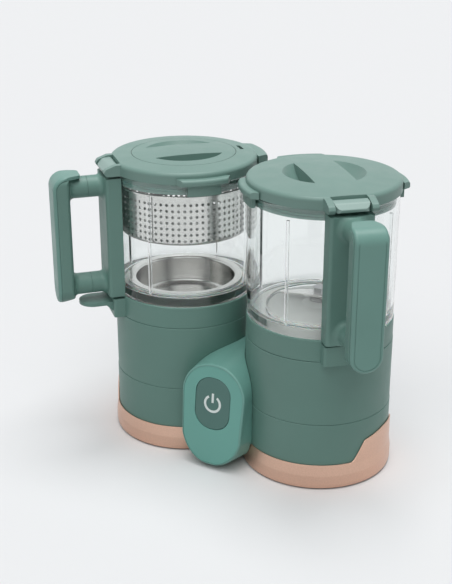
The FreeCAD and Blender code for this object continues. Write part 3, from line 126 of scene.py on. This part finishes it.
class Shader:
    """A material under construction: its node tree and its Principled node."""

    def __init__(self, name):
        self.material = bpy.data.materials.new(name)
        self.material.use_nodes = True
        self.tree = self.material.node_tree
        self.bsdf = self.tree.nodes["Principled BSDF"]
        self.place = self.add("ShaderNodeTexCoord").outputs["Object"]

    def add(self, kind, **settings):
        node = self.tree.nodes.new(kind)
        for key, value in settings.items():
            setattr(node, key, value)
        return node

    def link(self, source, target):
        self.tree.links.new(source, target)

    def show(self, shader):
        """Makes a shader the one that the material's surface has."""
        self.link(shader, self.tree.nodes["Material Output"].inputs["Surface"])

    def set(self, **values):
        for key, value in values.items():
            socket = self.bsdf.inputs[key.replace("_", " ")]
            socket.default_value = (*value, 1) if isinstance(value, tuple) else value

    def noise(self, scale, detail=2.0, stretch=(1, 1, 1)):
        """Noise in the object's own metres, stretched along its axes."""
        mapping = self.add("ShaderNodeMapping")
        mapping.inputs["Scale"].default_value = stretch
        self.link(self.place, mapping.inputs["Vector"])
        texture = self.add("ShaderNodeTexNoise")
        texture.inputs["Scale"].default_value = scale
        texture.inputs["Detail"].default_value = detail
        self.link(mapping.outputs["Vector"], texture.inputs["Vector"])
        return texture.outputs["Fac"]

    def spread(self, source, low, high):
        """The middle of a noise, stretched between two values."""
        node = self.add("ShaderNodeMapRange")
        node.inputs["From Min"].default_value = NOISE_MIDDLE[0]
        node.inputs["From Max"].default_value = NOISE_MIDDLE[1]
        node.inputs["To Min"].default_value = low
        node.inputs["To Max"].default_value = high
        self.link(source, node.inputs["Value"])
        return node.outputs["Result"]

    def tones(self, source, colour, change):
        """Base colour that drifts a little either way of a colour."""
        mix = self.add("ShaderNodeMix", data_type="RGBA")
        mix.inputs["A"].default_value = (*[c * (1 - change) for c in colour], 1)
        mix.inputs["B"].default_value = (*[c * (1 + change) for c in colour], 1)
        self.link(self.spread(source, 0, 1), mix.inputs["Factor"])
        self.link(mix.outputs["Result"], self.bsdf.inputs["Base Color"])

    def rough(self, source, middle, swing):
        """Roughness that drifts by a swing either way of its middle."""
        self.link(self.spread(source, middle - swing, middle + swing), self.bsdf.inputs["Roughness"])

    def relief(self, source, depth, strength, edge=0.0):
        """Bump from a texture, over edges softened by a small radius."""
        bump = self.add("ShaderNodeBump")
        bump.inputs["Strength"].default_value = strength
        bump.inputs["Distance"].default_value = depth
        self.link(source, bump.inputs["Height"])
        if edge:
            bevel = self.add("ShaderNodeBevel", samples=EDGE_SAMPLES)
            bevel.inputs["Radius"].default_value = edge
            self.link(bevel.outputs["Normal"], bump.inputs["Normal"])
        self.link(bump.outputs["Normal"], self.bsdf.inputs["Normal"])


# Materials


def satin_plastic(name, colour, rough=0.45, grain=0.5):
    """Moulded plastic with a fine spark-eroded grain."""
    s = Shader(name)
    s.tones(s.noise(scale=14.0, detail=3.0), colour, change=0.04)
    s.rough(s.noise(scale=60.0), rough, swing=0.05)
    s.relief(s.noise(scale=2600.0, detail=3.0), depth=0.0001, strength=grain, edge=MOULDED_EDGE)
    s.set(IOR=1.48)
    return s.material


def smooth_plastic(name, colour, rough):
    """Polished moulding: hardly any grain, faint swirls in the gloss."""
    s = Shader(name)
    s.tones(s.noise(scale=20.0), colour, change=0.025)
    s.rough(s.noise(scale=35.0, detail=4.0), rough, swing=0.04)
    s.relief(s.noise(scale=1200.0, detail=1.0), depth=0.00005, strength=0.2, edge=MOULDED_EDGE)
    s.set(IOR=1.5)
    return s.material


def rose_gold():
    """Satin metallic coat with a fleck as fine as the pigment."""
    s = Shader("rose_gold_coat")
    s.tones(s.noise(scale=900.0, detail=4.0), ROSE, change=0.05)
    s.rough(s.noise(scale=30.0, detail=3.0), middle=0.38, swing=0.05)
    s.relief(s.noise(scale=3200.0), depth=0.00006, strength=0.25, edge=MOULDED_EDGE)
    s.set(Metallic=0.85, Coat_Weight=0.15, Coat_Roughness=0.3)
    return s.material


def spun_metal(name, colour, rough):
    """Metal polished round and round, so its lines run level."""
    s = Shader(name)
    lines = s.noise(scale=40.0, detail=5.0, stretch=(1, 1, 120))
    s.tones(s.noise(scale=25.0, detail=3.0), colour, change=0.05)
    s.rough(lines, rough, swing=0.07)
    s.relief(lines, depth=0.00004, strength=0.35)
    s.set(Metallic=1.0)
    return s.material


def clear_glass():
    """Thick pressed glass, faintly wavy, that lets the lamps through."""
    s = Shader("jar_glass")
    s.relief(s.noise(scale=28.0, detail=1.0), depth=0.0004, strength=0.12)
    s.rough(s.noise(scale=80.0), middle=0.006, swing=0.006)
    s.set(Base_Color=GLASS_TINT, Transmission_Weight=1.0, IOR=1.5)
    clear = s.add("ShaderNodeBsdfTransparent")
    path = s.add("ShaderNodeLightPath")
    mix = s.add("ShaderNodeMixShader")
    s.link(path.outputs["Is Shadow Ray"], mix.inputs["Fac"])
    s.link(s.bsdf.outputs["BSDF"], mix.inputs[1])
    s.link(clear.outputs["BSDF"], mix.inputs[2])
    s.show(mix.outputs["Shader"])
    return s.material


def soft_rubber(name, colour, rough, clear=0.0):
    """Rubber or silicone with a dusty, slightly uneven skin."""
    s = Shader(name)
    s.tones(s.noise(scale=60.0, detail=3.0), colour, change=0.08)
    s.rough(s.noise(scale=90.0, detail=3.0), rough, swing=0.08)
    s.relief(s.noise(scale=1500.0), depth=0.0001, strength=0.3)
    s.set(Subsurface_Weight=clear, Subsurface_Scale=0.002)
    return s.material


def circuit_board():
    """Lacquered board with a weave under its lacquer."""
    s = Shader("circuit_board")
    s.tones(s.noise(scale=240.0), BOARD, change=0.3)
    s.rough(s.noise(scale=150.0), middle=0.4, swing=0.1)
    s.relief(s.noise(scale=400.0), depth=0.0001, strength=0.3)
    return s.material


MATERIALS = {
    "green_plastic": satin_plastic("green_plastic_satin", GREEN),
    # the lids' material carries a painted sheen from the overhead light on their tops
    "lid_green": satin_plastic("lid_plastic_painted_sheen", LID_GREEN_PAINTED_SHEEN, rough=0.42),
    "panel_green": smooth_plastic("panel_plastic", PANEL_GREEN, rough=0.38),
    "button_green": smooth_plastic("button_plastic", BUTTON_GREEN, rough=0.4),
    # the flap's material is painted lighter for the light falling on its upward face
    "flap_green": smooth_plastic("flap_plastic_painted_light", FLAP_GREEN_PAINTED_LIGHT, rough=0.35),
    "rose_gold": rose_gold(),
    "glass": clear_glass(),
    "stainless": spun_metal("stainless_polished", STAINLESS, rough=0.2),
    "steel": spun_metal("steel_plain", STEEL, rough=0.35),
    "silicone": soft_rubber("silicone_pale", SILICONE, rough=0.5, clear=0.3),
    "green_silicone": soft_rubber("silicone_green", GREEN, rough=0.5, clear=0.1),
    "pale_plastic": satin_plastic("pale_plastic_satin", PALE_PLASTIC),
    "rubber": soft_rubber("rubber_black", RUBBER, rough=0.7),
    "black_plastic": satin_plastic("black_plastic_satin", BLACK, rough=0.5),
    "board": circuit_board(),
}
OWN_LOOKS = {
    # the bridge shell's lighter green is partly painted sheen for the light on its top
    "bridge_shell": satin_plastic("bridge_plastic_painted_sheen", BRIDGE_GREEN_PAINTED_SHEEN, rough=0.42),
    "steam_handle_cover": satin_plastic("steam_grip_plastic", GRIP_GREEN, rough=0.40),
    "blend_handle_cover": satin_plastic("blend_grip_plastic", GRIP_GREEN, rough=0.40),
}


def dress_nodes():
    """Gives every carried-over node its own look, or else that of its slot in the record."""
    for part in frame["record"]["subparts"]:
        node = NODES[part["node"]]
        node.data.materials.clear()
        node.data.materials.append(OWN_LOOKS.get(part["node"], MATERIALS[part["material_slot"]]))


# Pieces


def add_piece(name, mesh, body):
    piece = bpy.data.objects.new(name, mesh)
    bpy.context.scene.collection.objects.link(piece)
    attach(piece, body)
    return piece


def foot_scale(z):
    """Width of the rounder foot at a height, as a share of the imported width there."""
    if z >= FOOT_START_Z:
        return 1.0
    z = max(z, FOOT_END_Z)
    drop = (FOOT_START_Z - z) / (FOOT_START_Z - FOOT_END_Z)
    wanted = FOOT_FLAT + (FOOT_HALF_W - FOOT_FLAT) * math.sqrt(max(0.0, 1 - drop * drop))
    fall = max(0.0, FOOT_END_Z + FOOT_CORNER_R - z)
    packed = FOOT_HALF_W - FOOT_CORNER_R + math.sqrt(max(0.0, FOOT_CORNER_R ** 2 - fall ** 2))
    return min(1.0, wanted / packed)


def shape_face(vertices):
    """Moves points near the face, fading to nothing behind it."""
    for vertex in vertices:
        x, y, z = vertex.co
        near = 1 - min(1.0, max(0.0, (y - FACE_Y) / FACE_DEPTH))
        low = max(0.0, FOOT_START_Z - z) / (FOOT_START_Z - FOOT_END_Z)
        high = min(1.0, max(0.0, z - FOOT_START_Z) / (HEAD_Z - FOOT_START_Z))
        vertex.co.x = x * (1 - near * (1 - foot_scale(z)))
        vertex.co.y = y + near * LEAN * (z - LEAN_Z)
        vertex.co.z = z + near * (FOOT_RISE * low - HEAD_DROP * high)


def shaped(node, body):
    """Copy of a dressed node with the face's shape; it stands for the node."""
    name = node + "_shaped"
    mesh = NODES[node].data.copy()
    mesh.name = name
    shape_face(mesh.vertices)
    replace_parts(add_piece(name, mesh, body), node)


def thick_strip(bm, pairs, y_front, y_back):
    """Closed bar through pairs of (x, z) points, each pair one cross line."""
    rings = []
    for (x0, z0), (x1, z1) in pairs:
        corners = ((x0, y_front, z0), (x1, y_front, z1), (x1, y_back, z1), (x0, y_back, z0))
        rings.append([bm.verts.new(corner) for corner in corners])
    for one, two in zip(rings, rings[1:]):
        for i in range(4):
            j = (i + 1) % 4
            bm.faces.new((one[i], one[j], two[j], two[i]))
    bm.faces.new(rings[0][::-1])
    bm.faces.new(rings[-1])


def power_sign():
    """White ring with a gap at the top and a bar in the gap, printed on the button."""
    low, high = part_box("start_button")
    centre_z = (low.z + high.z) / 2
    y_front, y_back = low.y - INK_PROUD, low.y + INK_SUNK
    arc = []
    for i in range(SIGN_STEPS + 1):
        angle = math.pi / 2 + SIGN_GAP + i * (2 * math.pi - 2 * SIGN_GAP) / SIGN_STEPS
        arc.append([(r * math.cos(angle), centre_z + r * math.sin(angle))
                    for r in (SIGN_R - SIGN_HALF_W, SIGN_R + SIGN_HALF_W)])
    bar = [[(-SIGN_HALF_W, centre_z + z), (SIGN_HALF_W, centre_z + z)] for z in SIGN_BAR_Z]
    bm = bmesh.new()
    thick_strip(bm, arc, y_front, y_back)
    thick_strip(bm, bar, y_front, y_back)
    bmesh.ops.recalc_face_normals(bm, faces=bm.faces)
    shape_face(bm.verts)
    bm.normal_update()
    mesh = bpy.data.meshes.new("power_sign")
    bm.to_mesh(mesh)
    bm.free()
    mesh.materials.append(satin_plastic("white_ink", WHITE_INK, rough=0.4, grain=0.2))
    add_piece("power_sign", mesh, "button")


# Stage, light and camera


def camera_sees(tree, plain, seen):
    """Mix of two shaders: the second is what camera, gloss and glass see."""
    path = tree.nodes.new("ShaderNodeLightPath")
    direct = path.outputs["Is Camera Ray"]
    for ray in ("Is Glossy Ray", "Is Transmission Ray"):
        either = tree.nodes.new("ShaderNodeMath")
        either.operation = "MAXIMUM"
        tree.links.new(direct, either.inputs[0])
        tree.links.new(path.outputs[ray], either.inputs[1])
        direct = either.outputs["Value"]
    mix = tree.nodes.new("ShaderNodeMixShader")
    tree.links.new(direct, mix.inputs["Fac"])
    tree.links.new(plain, mix.inputs[1])
    tree.links.new(seen, mix.inputs[2])
    return mix.outputs["Shader"]


def floor():
    """Pale sheet that keeps the shadows and throws little light back up."""
    corners = [(x * FLOOR_HALF, y * FLOOR_HALF, 0) for x, y in ((-1, -1), (1, -1), (1, 1), (-1, 1))]
    mesh = bpy.data.meshes.new("floor")
    mesh.from_pydata(corners, [], [(0, 1, 2, 3)])
    s = Shader("floor_paper")
    s.set(Base_Color=FLOOR_PAPER, Roughness=0.9, Specular_IOR_Level=0.0)
    dull = s.add("ShaderNodeBsdfDiffuse")
    dull.inputs["Color"].default_value = (*FLOOR_BOUNCE, 1)
    s.show(camera_sees(s.tree, dull.outputs["BSDF"], s.bsdf.outputs["BSDF"]))
    mesh.materials.append(s.material)
    sheet = bpy.data.objects.new("floor", mesh)
    bpy.context.scene.collection.objects.link(sheet)


def world_light():
    """Even studio light; the pale backdrop is what camera, gloss and glass see."""
    world = bpy.data.worlds.new("studio")
    bpy.context.scene.world = world
    world.use_nodes = True
    tree = world.node_tree
    fill = tree.nodes["Background"]
    fill.inputs["Color"].default_value = (*WHITE, 1)
    fill.inputs["Strength"].default_value = SKY_FILL
    backdrop = tree.nodes.new("ShaderNodeBackground")
    backdrop.inputs["Color"].default_value = (*BACKDROP, 1)
    seen = camera_sees(tree, fill.outputs["Background"], backdrop.outputs["Background"])
    tree.links.new(seen, tree.nodes["World Output"].inputs["Surface"])


def sun(name, direction, strength, spread):
    """Sun lamp that shines in a direction, spread over an angle in degrees."""
    lamp = bpy.data.lights.new(name, "SUN")
    lamp.energy = strength
    lamp.angle = math.radians(spread)
    rig = bpy.data.objects.new(name, lamp)
    rig.rotation_euler = Vector(direction).to_track_quat("-Z", "Y").to_euler()
    bpy.context.scene.collection.objects.link(rig)


def camera():
    """Camera on a line from the aim point, which lies in the plane of the jars' axes."""
    low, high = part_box("blend_glass")
    aim = Vector((AIM_X, (low.y + high.y) / 2, AIM_Z))
    level = math.cos(VIEW_ELEVATION)
    away = Vector((level * math.sin(VIEW_AZIMUTH),
                   -level * math.cos(VIEW_AZIMUTH),
                   math.sin(VIEW_ELEVATION)))
    lens = bpy.data.cameras.new("camera")
    lens.sensor_width = SENSOR
    lens.lens = FOCAL_PX * SENSOR / PHOTO_H
    lens.clip_start = CLIP_START
    rig = bpy.data.objects.new("camera", lens)
    rig.location = aim + away * VIEW_DISTANCE
    rig.rotation_euler = (-away).to_track_quat("-Z", "Y").to_euler()
    bpy.context.scene.collection.objects.link(rig)
    bpy.context.scene.camera = rig


dress_nodes()
shaped("bridge_shell", "base")
shaped("front_panel", "base")
shaped("start_button", "button")
power_sign()
world_light()
sun("overhead", direction=(-0.03, -0.11, -1.0), strength=1.95, spread=38.0)
sun("front", direction=(-0.14, 0.52, -0.80), strength=1.15, spread=50.0)
floor()
camera()
bpy.context.scene.view_settings.view_transform = "Standard"
